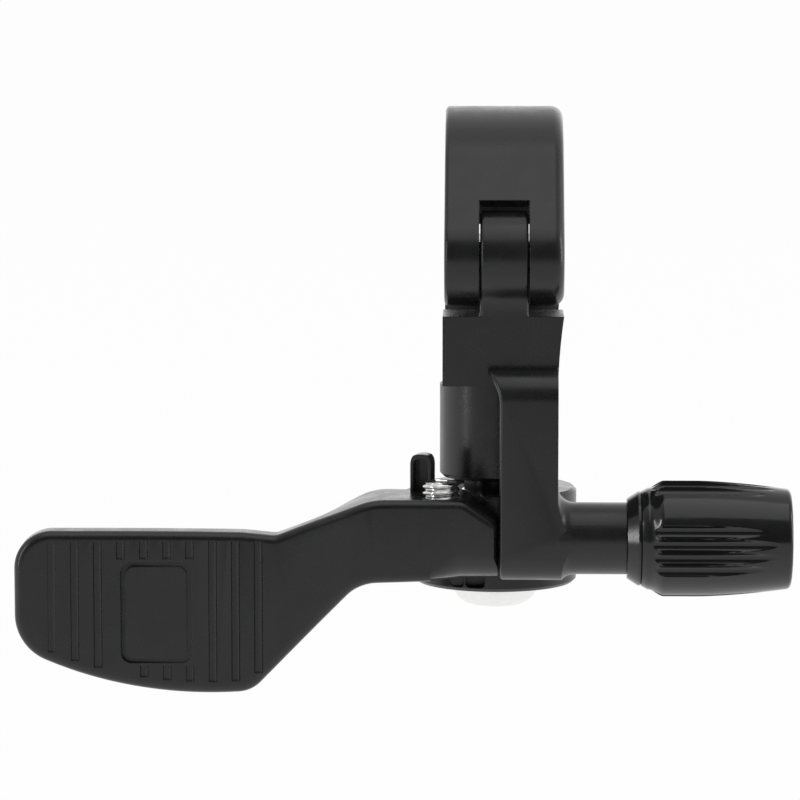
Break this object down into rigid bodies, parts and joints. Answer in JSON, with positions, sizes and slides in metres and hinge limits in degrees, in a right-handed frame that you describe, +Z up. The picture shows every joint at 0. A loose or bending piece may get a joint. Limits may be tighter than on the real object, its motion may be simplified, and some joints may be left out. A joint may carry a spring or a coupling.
{
  "type": "dropper post remote lever",
  "caption": "Thumb lever for a dropper seatpost cable: hinged handlebar clamp, arm with a vertical pivot, ribbed paddle, cable pinch screw and fluted barrel adjuster.",
  "frame": {"origin": "centre of the handlebar bore, on the clamp's middle plane", "axes": "+X along the handlebar towards the barrel adjuster, +Y forward away from the rider, +Z up"},
  "size_m": [0.0831, 0.0457, 0.0622],
  "materials": {
    "black_anodised": "satin black anodised",
    "dark_steel": "black oxide",
    "bright_steel": "bright zinc plated",
    "bearing_steel": "ground",
    "cage_plastic": "moulded",
    "seal_rubber": "matt",
    "knob_plastic": "gloss moulded",
    "stud_alloy": "black anodised"
  },
  "bodies": {
    "bracket": {"bracket": "black_anodised", "hinge_pin": "dark_steel", "pivot_bolt": "bright_steel", "pivot_spacer": "black_anodised", "race_spacer": "bearing_steel", "pivot_washer": "bearing_steel", "upper_inner_race": "bearing_steel", "lower_inner_race": "bearing_steel"},
    "lever": {"lever": "black_anodised", "cable_set_screw": "bright_steel", "upper_outer_race": "bearing_steel", "lower_outer_race": "bearing_steel", "upper_bearing_seals": "seal_rubber", "lower_bearing_seals": "seal_rubber"},
    "hub_balls": {"upper_bearing_balls": "bearing_steel", "upper_bearing_cage": "cage_plastic", "lower_bearing_balls": "bearing_steel", "lower_bearing_cage": "cage_plastic"},
    "strap": {"clamp_strap": "black_anodised"},
    "clamp_bolt": {"clamp_bolt": "dark_steel", "clamp_washer": "dark_steel"},
    "adjuster_knob": {"adjuster_knob": "knob_plastic", "adjuster_spring": "bearing_steel"},
    "adjuster_stud": {"adjuster_stud": "stud_alloy"}
  },
  "joints": [
    {"name": "lever_pivot", "type": "hinge", "parent": "bracket", "child": "lever", "pos_m": [-0.00088, -0.0055, -0.0317], "axis": [0, 0, -1], "range_deg": [0, 28]},
    {"name": "ball_orbit", "type": "hinge", "parent": "bracket", "child": "hub_balls", "pos_m": [-0.00088, -0.0055, -0.0317], "axis": [0, 0, -1], "range_deg": [0, 18]},
    {"name": "clamp_hinge", "type": "hinge", "parent": "bracket", "child": "strap", "pos_m": [0, -0.0138, -0.0007], "axis": [1, 0, 0], "range_deg": [0, 84]},
    {"name": "clamp_bolt_travel", "type": "slide", "parent": "strap", "child": "clamp_bolt", "axis": [0, 0, 1], "range_m": [0, 0.007]},
    {"name": "adjuster_turn", "type": "hinge", "parent": "bracket", "child": "adjuster_knob", "pos_m": [0.022, -0.017, -0.0305], "axis": [1, 0, 0], "range_deg": [-722, 1803]},
    {"name": "stud_feed", "type": "slide", "parent": "adjuster_knob", "child": "adjuster_stud", "axis": [1, 0, 0], "range_m": [-0.0016, 0.004], "deforming": ["adjuster_spring"]}
  ],
  "couplings": [
    {"joint": "ball_orbit", "follows": "lever_pivot", "ratio": 0.6111},
    {"joint": "adjuster_turn", "follows": "stud_feed", "rad_per_m": 7854}
  ]
}
